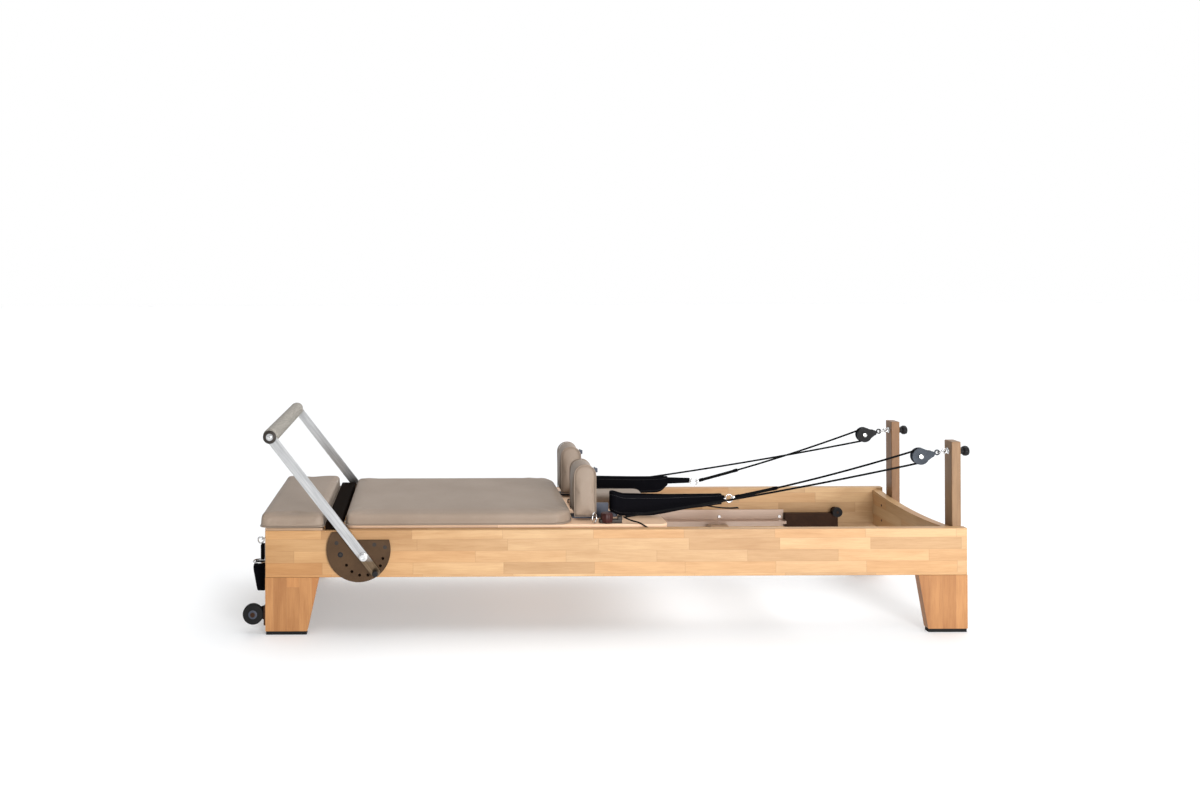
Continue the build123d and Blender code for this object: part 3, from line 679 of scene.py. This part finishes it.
def make_rope_sleeve(name, path, leave):
    """The spliced sleeve next to the strap, with whipping at both ends."""
    long, thick = 0.165, 0.0056
    near_strap = path if (path[0] - leave).length > (path[-1] - leave).length else path[::-1]
    points, gone = [near_strap[0]], 0.0
    for a, b in zip(near_strap, near_strap[1:]):
        gone += (b - a).length
        if gone > long:
            break
        points.append(b)
    sleeve, _ = wire(f"rope_sleeve_{name}", points, thick, "rope", kind="POLY", sides=5)
    pieces = [sleeve]
    direction = (points[-1] - points[0]).normalized()
    half, radius = 0.0016, thick + 0.0009
    band = [(-half, radius * 0.86), (-half * 0.6, radius), (half * 0.6, radius), (half, radius * 0.86)]
    for end, sign in ((points[0], 1), (points[-1], -1)):
        for i in range(5):
            place = end + direction * sign * (0.004 + 0.003 * i)
            pieces.append(lathe("band", band, place, direction, "strap", 20))
    made = joined(f"rope_sleeve_{name}", pieces)
    keep(made, "frame", "rope")
    squash_to_pulley(made)


# ---- upholstery ----
def puffed(obj, voxel, pressure, cap, base_level=None):
    """A cover pulled over foam, simulated as cloth: it swells a little, and no point moves past cap."""
    modified(obj, "REMESH", mode="VOXEL", voxel_size=voxel)
    modified(obj, "SMOOTH", factor=0.6, iterations=6)
    rest = np.array([v.co for v in obj.data.vertices], float)
    if base_level is not None:
        group = obj.vertex_groups.new(name="held")
        group.add([i for i, z in enumerate(rest[:, 2]) if z < base_level + voxel * 1.2], 1.0, "REPLACE")
    cloth = obj.modifiers.new("cloth", "CLOTH")
    cloth.settings.use_pressure = True
    cloth.settings.uniform_pressure_force = pressure
    cloth.settings.tension_stiffness = 25
    cloth.settings.bending_stiffness = 4
    cloth.settings.effector_weights.gravity = 0
    if base_level is not None:
        cloth.settings.vertex_group_mass = "held"
    scene = bpy.context.scene
    for step in range(1, 21):
        scene.frame_set(step)
    apply_modifiers(obj)
    scene.frame_set(1)
    now = np.array([v.co for v in obj.data.vertices], float)
    move = now - rest
    size = np.linalg.norm(move, axis=1, keepdims=True)
    now = rest + move * np.minimum(1.0, cap / np.maximum(size, 1e-9))
    obj.data.vertices.foreach_set("co", now.ravel())
    modified(obj, "SUBSURF", levels=1, render_levels=1)
    all_smooth(obj.data)


COVER_GAP = 0.003                   # what a cover leaves free to swell into


def inset_box(low, high, amount):
    return (low.x + amount, high.x - amount), (low.y + amount, high.y - amount)


def make_flat_pad(node, body, radii, voxel, cap):
    low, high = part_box(node)
    outline = rounded_box(*inset_box(low, high, COVER_GAP), radii)
    pad = prism(node + "_cover", outline, low.z + 0.001, high.z - COVER_GAP, "z", "leather")
    bevelled(pad, 0.007, 3)
    puffed(pad, voxel, 3.0, cap, low.z)
    keep(pad, body, "upholstery", node)
    line = [(x, y, low.z + 0.0035) for x, y in rounded_box(*inset_box(low, high, 0.004), radii, 12)]
    hem, _ = wire(node + "_hem", line, 0.0022, "leather", "POLY", closed=True)
    keep(hem, body, "upholstery")


def tombstone(x, z, shrink=0.0):
    """A rest's outline in XZ: straight sides under a half-round top."""
    steps = 20
    radius = (x[1] - x[0]) / 2 - shrink
    middle = (x[0] + x[1]) / 2
    points = [(middle - radius, z[0] + shrink), (middle + radius, z[0] + shrink)]
    points += [(middle + radius * cos(pi * i / steps),
                z[1] - shrink - radius + radius * sin(pi * i / steps)) for i in range(steps + 1)]
    return points


def make_shoulder_rest(name):
    node = f"shoulder_rest_{name}"
    low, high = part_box(node)
    outline = tombstone((low.x, high.x), (low.z, high.z), shrink=COVER_GAP)
    rest = prism(node + "_cover", outline, low.y + COVER_GAP, high.y - COVER_GAP, "y", "leather")
    bevelled(rest, 0.008, 3)
    puffed(rest, 0.005, 3.0, 0.004)
    keep(rest, "carriage", "upholstery", node)
    inset = 0.0035
    line = tombstone((low.x + inset, high.x - inset), (low.z + 0.004, high.z - inset))
    welts = [wire("welt", [(x, y, z) for x, z in line], 0.0019, "leather", "POLY", closed=True)[0]
             for y in (low.y + inset, high.y - inset)]
    keep(joined(node + "_welt", welts), "carriage", "upholstery")


def make_upholstery():
    make_flat_pad("carriage_pad", "carriage", (0.018, 0.075, 0.075, 0.018), 0.007, 0.004)
    make_flat_pad("platform_pad", "frame", (0.022,) * 4, 0.006, 0.004)
    make_flat_pad("headrest_pad", "headrest", (0.022,) * 4, 0.005, 0.003)
    for name, _ in SIDES:
        make_shoulder_rest(name)


# ---- footbar grip ----
def make_grip():
    low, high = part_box("footbar_grip")
    middle = (low + high) / 2
    radius = (high.z - low.z) / 2
    half = (high.y - low.y) / 2
    end = [(half, 0.0155), (half, radius * 0.80), (half - 0.002, radius * 0.93), (half - 0.007, radius)]
    rows = 60
    ribs = [(-half + 0.010 + (2 * half - 0.020) * i / rows, radius * (0.992 + 0.008 * (i % 2)))
            for i in range(rows + 1)]
    profile = [(-along, r) for along, r in end] + ribs + end[::-1]
    grip = lathe("footbar_grip_sleeve", profile, middle, (0, 1, 0), "grip", 64)
    keep(grip, "footbar", "grip_foam", "footbar_grip")


# ---- springs ----
def make_springs():
    low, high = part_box("springs")
    bar_low, bar_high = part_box("spring_bar")
    hook_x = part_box("spring_hook_bar")[0].x
    z = (low.z + high.z) / 2
    bar_x = (bar_low.x + bar_high.x) / 2
    count, turns, steps, wire_r = 5, 34, 14, 0.0016
    wide = high.z - low.z
    coil_r = wide / 2 - wire_r
    start, end = low.x + 0.022, high.x - 0.022
    for index in range(count):
        y = low.y + wide / 2 + (high.y - low.y - wide) * index / (count - 1)
        points = []
        for i in range(turns * steps + 1):
            t = i / (turns * steps)
            a = 2 * pi * turns * t
            shrink = min(1.0, 0.25 + 12 * t, 0.25 + 12 * (1 - t))
            points.append((start + (end - start) * t, y + coil_r * shrink * cos(a),
                           z + coil_r * shrink * sin(a)))
        hook = [(bar_x + 0.0105 * cos(a), y, z + 0.0105 * sin(a))
                for a in [radians(d) for d in range(230, -1, -30)]]
        points = hook + [(start - 0.004, y, z)] + points + [(end + 0.012, y, z), (hook_x - 0.0035, y, z)]
        spring, _ = wire(f"spring_{index + 1}", points, wire_r, "steel_bright", "POLY", sides=2)
        if index == 0:
            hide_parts("springs")
        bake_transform(spring)


# ---- straps ----
STRAP_POST = (0.025, 0.175)
STRAP_TIP_X = {"near": 0.396, "far": 0.287}
STRAP_RADII = (0.0175, 0.0085)      # of the band's middle layer, round the post and round the ring
STRAP_TAB_Z = {"near": (0.408, 0.438), "far": (0.400, 0.427)}
# each band's lower and upper edge as (x, z): the near strap sags on to the carriage, the far one hangs lower
STRAP_EDGES = {
    "near": ([(0.003, 0.386), (0.035, 0.368), (0.150, 0.367), (0.196, 0.374), (0.285, 0.391), (0.346, 0.397),
              (0.408, 0.407)],
             [(0.003, 0.453), (0.030, 0.450), (0.046, 0.441), (0.210, 0.438), (0.408, 0.440)]),
    "far": ([(0.003, 0.386), (0.100, 0.382), (0.160, 0.368), (0.195, 0.367), (0.260, 0.369), (0.299, 0.389)],
            [(0.003, 0.430), (0.160, 0.428), (0.299, 0.429)]),
}


def straight(first, last):
    """The points between two points, without them."""
    steps = 24
    return [(first[0] + (last[0] - first[0]) * i / steps, first[1] + (last[1] - first[1]) * i / steps)
            for i in range(1, steps)]


def strap_plan(name, count):
    """Points of the loop in plan, round the post and the ring."""
    x0, y0 = STRAP_POST
    r0, r1 = STRAP_RADII
    tip = STRAP_TIP_X[name]
    lean = asin((r0 - r1) / (tip - x0))
    post, ring = ([(x + r * cos(a), y0 + r * sin(a))
                   for a in [start + sweep * i / count for i in range(count + 1)]]
                  for x, r, start, sweep in ((x0, r0, pi / 2 - lean, pi + 2 * lean),
                                             (tip, r1, lean - pi / 2, pi - 2 * lean)))
    return post + straight(post[-1], ring[0]) + ring + straight(ring[-1], post[0])


def smooth_step(t):
    t = min(1.0, max(0.0, t))
    return t * t * (3 - 2 * t)


def level_at(x, corners):
    """A smoothed height at x along an edge given by its corners."""
    xs, zs = zip(*corners)
    return sum(float(np.interp(x + shift, xs, zs)) for shift in (-0.012, -0.006, 0.0, 0.006, 0.012)) / 5


def strap_levels(x, name):
    """The band's lower and upper edge at x: full where it is padded, narrow at the ring's end."""
    lower, upper = (level_at(x, edge) for edge in STRAP_EDGES[name])
    low, high = STRAP_TAB_Z[name]
    narrow = smooth_step((x - STRAP_TIP_X[name] + 0.016) / 0.028)
    return lower + (low - 0.004 - lower) * narrow, upper + (high + 0.003 - upper) * narrow


def strap_padding(x, name):
    return 0.0031 - 0.0014 * smooth_step((x - STRAP_TIP_X[name] + 0.06) / 0.05)


def make_strap(name, side):
    """The padded loop: a quilted band, thicker in its padded part, swept round the plan."""
    plan = strap_plan(name, 14)
    count, section = len(plan), 20
    verts = []
    for i, (x, y) in enumerate(plan):
        before, after = plan[i - 1], plan[(i + 1) % count]
        tangent = Vector((after[0] - before[0], after[1] - before[1])).normalized()
        normal = Vector((tangent.y, -tangent.x))
        low, high = strap_levels(x, name)
        padding = strap_padding(x, name)
        for k in range(section):
            a = 2 * pi * k / section
            up = copysign(abs(sin(a)) ** 0.35, sin(a))
            out = copysign(abs(cos(a)) ** 0.55, cos(a))
            quilt = 1 - 0.22 * exp(-((abs(up) - 0.72) / 0.09) ** 2)
            z = (low + high) / 2 + up * (high - low) / 2
            away = normal * out * padding * quilt
            verts.append((x + away.x, side * (y + away.y), z))
    strap = new_piece(f"strap_{name}_band", verts, ring_faces(count, section, closed=True), "strap")
    keep(strap, "carriage", "strap", f"strap_{name}")
    make_strap_stitches(name, side, plan)
    make_strap_webbing(name, side)


def ribbon(name, points, y, half_width, thickness, material):
    """A flat tape that runs in XZ along points, half_width to each side of y."""
    upper, lower = [], []
    for i, (x, z) in enumerate(points):
        before, after = points[max(i - 1, 0)], points[min(i + 1, len(points) - 1)]
        half = Vector((after[0] - before[0], after[1] - before[1])).normalized() * thickness / 2
        upper.append((x - half.y, z + half.x))
        lower.append((x + half.y, z - half.x))
    return crisp(prism(name, upper + lower[::-1], y - half_width, y + half_width, "y", material), 50)


def make_strap_webbing(name, side):
    """The doubled webbing that holds the snap hook, and the near strap's loose tail."""
    y = side * STRAP_POST[1]
    low, high = STRAP_TAB_Z[name]
    tip, end = STRAP_TIP_X[name] + 0.0085, STRAP_END[name][0] - 0.0375
    tab = prism("tab", [(tip, low + 0.001), (end, low + 0.004), (end, high - 0.004), (tip, high - 0.001)],
                y - 0.0028, y + 0.0028, "y", "strap")
    pieces = [bevelled(tab, 0.0012, 2)]
    if name == "near":
        tail = [(0.352, 0.3985), (0.380, 0.3935), (0.410, 0.3900), (0.440, 0.3890), (0.466, 0.3905)]
        pieces.append(ribbon("tail", tail, y, 0.009, 0.0016, "strap"))
    keep(joined(f"strap_{name}_webbing", pieces), "carriage", "strap")


def make_strap_stitches(name, side, plan):
    """Two rows of lockstitch along the outer face."""
    pitch, long = 0.0056, 0.0036
    verts, faces = [], []
    walked = 0.0
    for a, b in zip(plan, plan[1:] + plan[:1]):
        run = Vector((b[0] - a[0], b[1] - a[1]))
        length = run.length
        tangent = run / length
        outward = Vector((tangent.y, -tangent.x))
        while walked < length:
            x, y = a[0] + tangent.x * walked, a[1] + tangent.y * walked
            low, high = strap_levels(x, name)
            centre = Vector((x, y)) + outward * strap_padding(x, name) * 0.92
            for share in (0.14, 0.86):
                z = low + (high - low) * share
                faces += ring_faces(4, 4, len(verts))
                for along, size in ((-0.5, 0.00035), (-0.3, 0.00065), (0.3, 0.00065), (0.5, 0.00035)):
                    for u, v in ((-1, 0), (0, -1), (1, 0), (0, 1)):
                        p = centre + tangent * along * long + outward * u * size
                        verts.append((p.x, side * p.y, z + v * size))
            walked += pitch
        walked -= length
    keep(new_piece(f"strap_{name}_stitches", verts, faces, "thread"), "carriage", "strap")


def arc_points(centre, radius, start, end, steps, up=(0, 0, 1), along=(1, 0, 0)):
    """Points on an arc in the plane of two directions, from start to end degrees."""
    centre, up, along = Vector(centre), Vector(up), Vector(along)
    return [centre + along * radius * cos(a) + up * radius * sin(a)
            for a in [radians(start + (end - start) * i / steps) for i in range(steps + 1)]]


def make_carabiners():
    """A ring in each strap's webbing, and a swivel snap hook that holds the rope's end."""
    steel = "steel_bright"
    for name, side in SIDES:
        x, y, z = STRAP_END[name]
        y *= side
        # each eye: its centre from the strap's end, radius, wire, angles, steps and second direction
        eyes = (("ring", -0.021, -0.005, 0.0135, 0.0022, 0, 345, 23, (0, 0, 1)),
                ("loop", -0.0375, -0.005, 0.0060, 0.0016, 0, 330, 11, (0, 1, 0)),
                ("hook", -0.0085, -0.003, 0.0065, 0.0018, 20, 330, 16, (0, 1, 0)))
        pieces = []
        for part, dx, dz, radius, thick, start, end, steps, up in eyes:
            line = arc_points((x + dx, y, z + dz), radius, start, end, steps, up=up)
            pieces.append(wire(part, line, thick, steel, "POLY", closed=True)[0])
        pieces.append(lathe("barrel", [(0, 0.0030), (0.0012, 0.0046), (0.0045, 0.0046), (0.0055, 0.0034)],
                            (x - 0.0062, y, z - 0.0015), (1, 0, 0.1), steel, 24))
        made = joined(f"snap_hook_{name}", pieces)
        keep(made, "carriage", "bright_steel", *if_near(name, "strap_carabiners"))


def rounded_corners(points, radius):
    """A closed outline with each corner cut back by radius and rounded."""
    steps = 6
    made = []
    for i, corner in enumerate(points):
        corner = Vector(corner)
        start = corner + (Vector(points[i - 1]) - corner).normalized() * radius
        end = corner + (Vector(points[(i + 1) % len(points)]) - corner).normalized() * radius
        for k in range(steps + 1):
            t = k / steps
            made.append(start * (1 - t) ** 2 + corner * 2 * t * (1 - t) + end * t ** 2)
    return made


def make_foot_straps():
    """The wide webbing loops that hang on the foot board, and the tapes between their two rings."""
    low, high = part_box("foot_straps")
    z0, z1 = low.z + 0.003, high.z - 0.003
    from_middle, half_width, half_thick = 0.215, 0.039, 0.0026
    section = [(-1, -0.8), (-1, 0.8), (-0.97, 1), (0.97, 1), (1, 0.8), (1, -0.8), (0.97, -1), (-0.97, -1)]
    for name, side in SIDES:
        y = side * from_middle
        y0, y1 = y - half_width, y + half_width
        plan = rounded_corners([(y0, z0), (y1, z0), (y1, z1), (y0, z1)], 0.019)
        n = len(plan)
        verts = []
        for i, point in enumerate(plan):
            run = (plan[(i + 1) % n] - plan[i - 1]).normalized()
            t = (point.y - low.z) / (high.z - low.z)
            left, right = -1.2388 + (low.x + 1.2390) * t, -1.2172 + (high.x + 1.2170) * t
            for u, v in section:
                verts.append(((left + right) / 2 + u * (right - left) / 2,
                              point.x + run.y * v * half_thick, point.y - run.x * v * half_thick))
        strap = new_piece(f"foot_strap_{name}", verts, ring_faces(n, len(section), closed=True), "strap")
        keep(crisp(strap, 50), "frame", "strap", *if_near(name, "foot_straps"))
        (x0, x1), (bottom, top) = (-1.2330, -1.2210), (0.2255, 0.2800)
        outline = rounded_corners([(x0, bottom), (x1, bottom), (x1, top), (x0, top)], 0.003)
        tape = prism(f"foot_strap_tape_{name}", outline, y - 0.0098, y + 0.0098, "y", "strap")
        keep(crisp(tape, 50), "frame", "strap")


# ---- hardware ----
def make_riser_knobs():
    for name, _ in SIDES:
        low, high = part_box(f"riser_knob_{name}")
        middle = (low + high) / 2
        radius = (high.z - low.z) / 2
        length = high.x - low.x
        profile = [(0, 0.006), (0, 0.0105), (0.013, 0.0110), (0.0145, radius * 0.80), (0.018, radius * 0.97),
                   (0.022, radius), (length - 0.007, radius), (length - 0.003, radius * 0.93),
                   (length - 0.001, radius * 0.78), (length, radius * 0.60)]
        knob = lathe(f"riser_knob_{name}_grip", profile, (low.x, middle.y, middle.z), (1, 0, 0),
                     "plastic", 96, lobes=8, depth=0.03)
        keep(knob, f"riser_knob_{name}", "black_plastic", f"riser_knob_{name}")
        cap = lathe(f"riser_knob_{name}_cap", [(-0.004, 0.0085), (-0.0006, 0.0085), (0.0, 0.0078)],
                    (high.x - 0.0003, middle.y, middle.z), (1, 0, 0), "steel_dark", 32)
        keep(cap, f"riser_knob_{name}", "dark_steel")


# how far from the machine's middle, along Y, the small parts on its outer sides start
PIVOT_WASHER_Y = 0.3492
PIVOT_HEAD_Y = 0.3512
GRIP_CAP_Y = 0.3470
GRIP_HEAD_Y = 0.3502
PLATE_PLUG = (-0.942, 0.3372, 0.275)
LOCK_HOLE_Y = 0.3303
HUB_Y = 0.3245


def side_lathe(profile, place, side, material, segments=36):
    """A lathed part that faces outwards, at the near or the far side."""
    x, y, z = place
    return lathe("turned", profile, (x, side * y, z), (0, side, 0), material, segments)


def socket_head(place, side, radius, height, material):
    """A round bolt head with a socket."""
    profile = [(0, radius * 0.98), (height * 0.75, radius), (height, radius * 0.86), (height, radius * 0.50),
               (height * 0.35, radius * 0.46), (height * 0.35, 0.0002)]
    return side_lathe(profile, place, side, material)


def middle_of(node):
    low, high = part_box(node)
    return (low + high) / 2


def make_footbar_bolts(name, side):
    x, _, z = middle_of("footbar_pivot_bolts")
    profile = [(0, 0.0145), (0.0012, 0.0148), (0.0022, 0.0140)]
    washer = side_lathe(profile, (x, PIVOT_WASHER_Y, z), side, "steel_bright", 40)
    head = socket_head((x, PIVOT_HEAD_Y, z), side, 0.0125, 0.0038, "steel_bright")
    made = joined(f"pivot_bolt_{name}_head", [washer, head])
    keep(made, "frame", "bright_steel", *if_near(name, "footbar_pivot_bolts"))
    x, _, z = middle_of("footbar_tube")
    profile = [(0, 0.0220), (0.0022, 0.0228), (0.0034, 0.0210)]
    cap = side_lathe(profile, (x, GRIP_CAP_Y, z), side, "steel_dark", 40)
    head = socket_head((x, GRIP_HEAD_Y, z), side, 0.0070, 0.0022, "steel_bright")
    keep(joined(f"grip_bolt_{name}_head", [cap, head]), "footbar", "bright_steel")


def make_wheel_hub(name, side):
    x, _, z = middle_of(f"transport_wheel_{name}")
    hub = side_lathe([(0, 0.0150), (0.0010, 0.0150), (0.0016, 0.0132)], (x, HUB_Y, z), side, "rest_steel")
    keep(joined(f"transport_hub_{name}", [hub]), f"transport_wheel_{name}", "dark_steel")


def make_plate_details(name, side):
    """The cover of the plate's bolt, and near-black discs in its lock holes: painted shade, where the holes
    look dark.
    """
    plug = socket_head(PLATE_PLUG, side, 0.0092, 0.0013, "plastic")
    keep(joined(f"plate_plug_{name}", [plug]), "frame", "dark_steel")
    holes = []
    for turn in LOCK_HOLE_TURNS:
        a = radians(-ARM_ANGLE - turn)
        place = (PIVOT[0] + LOCK_HOLE_R * cos(a), LOCK_HOLE_Y, PIVOT[1] + LOCK_HOLE_R * sin(a))
        # near-black discs: painted shade inside the lock holes
        holes.append(side_lathe([(0, 0.0052), (0.0010, 0.0052)], place, side, "cover", 20))
    keep(joined(f"lock_hole_shade_discs_{name}", holes), "frame", "dark_steel")


def make_pulley_pin(name, side):
    """The sheave's pin, riveted over both cheeks of its block."""
    axis = (pulley_matrix(side).to_3x3() @ Vector((0, 1, 0))).normalized()
    middle = Vector((PULLEY[0], side * PULLEY[1], PULLEY[2]))
    profile = [(0, 0.0082), (0.0012, 0.0080), (0.0018, 0.0066), (0.0018, 0.0034), (0.0008, 0.003)]
    pins = [lathe("pin", profile, middle + axis * sign * 0.0130, axis * sign, "steel_bright", 32)
            for sign in (-1, 1)]
    keep(joined(f"pulley_pin_{name}", pins), "frame", "bright_steel")


def make_cleats():
    """Each rope's cleat on the carriage: a toothed jaw, a round knob, a loose ring and the rope's tail."""
    _, y, z = ROPE_ANCHOR
    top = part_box("carriage_base")[1].z
    jaw_x, tooth, tooth_top = 0.0185, 0.0024, top + 0.0235
    knob_profile = [(0, 0.012), (0, 0.0185), (0.004, 0.0208), (0.026, 0.0205), (0.031, 0.0180),
                    (0.0325, 0.0125)]
    for name, side in SIDES:
        middle = side * y
        outline = rounded_box((-0.047, 0.032), (middle - 0.0115, middle + 0.0115), (0.004,) * 4, 4)
        body = prism("body", outline, top + 0.0002, top + 0.0115, "z", "steel_dark")
        teeth = [(jaw_x, top + 0.011)]
        for i in range(6):
            teeth += [(jaw_x + tooth * i, tooth_top), (jaw_x + tooth * (i + 0.5), top + 0.0215)]
        teeth += [(0.0328, tooth_top), (0.0328, top + 0.011)]
        jaw = prism("jaw", teeth, middle - 0.0088, middle + 0.0088, "y", "steel_dark")
        cleat = joined(f"rope_cleat_{name}", [bevelled(body, 0.0012), crisp(jaw, 30)])
        keep(cleat, "carriage", "dark_steel", *if_near(name, "rope_cleats"))
        knob = lathe(f"rope_cleat_knob_{name}", knob_profile, (-0.020, middle, top + 0.0025), (0, 0, 1),
                     "knob_red", 96, lobes=10, depth=0.03)
        keep(knob, "carriage", "black_plastic")
        across = Vector((-0.55, 0.83 * side, 0))
        circle = arc_points((-0.066, side * 0.280, top + 0.021), 0.0175, 0, 345, 23, along=across)
        ring, _ = wire(f"rope_cleat_ring_{name}", circle, 0.0023, "steel_bright", "POLY", closed=True)
        keep(ring, "carriage", "bright_steel")
        route = [(0.038, middle, z), (0.058, side * 0.272, top + 0.010), (0.085, side * 0.286, top + 0.007),
                 (0.105, side * 0.293, top - 0.003), (0.123, side * 0.2945, 0.346)]
        tail, _ = wire(f"rope_tail_{name}", route, 0.0027, "rope")
        keep(tail, "carriage", "rope")


# ---- build ----
MATERIALS = make_materials()
make_camera()
for name, side in SIDES:
    make_rope(name, side)
dress_cad_nodes()
make_stage()
make_studio()
make_lights()
make_upholstery()
make_grip()
make_springs()
for name, side in SIDES:
    make_strap(name, side)
make_carabiners()
make_foot_straps()
make_riser_knobs()
make_cleats()
for name, side in SIDES:
    make_footbar_bolts(name, side)
    make_wheel_hub(name, side)
    make_plate_details(name, side)
    make_pulley_pin(name, side)
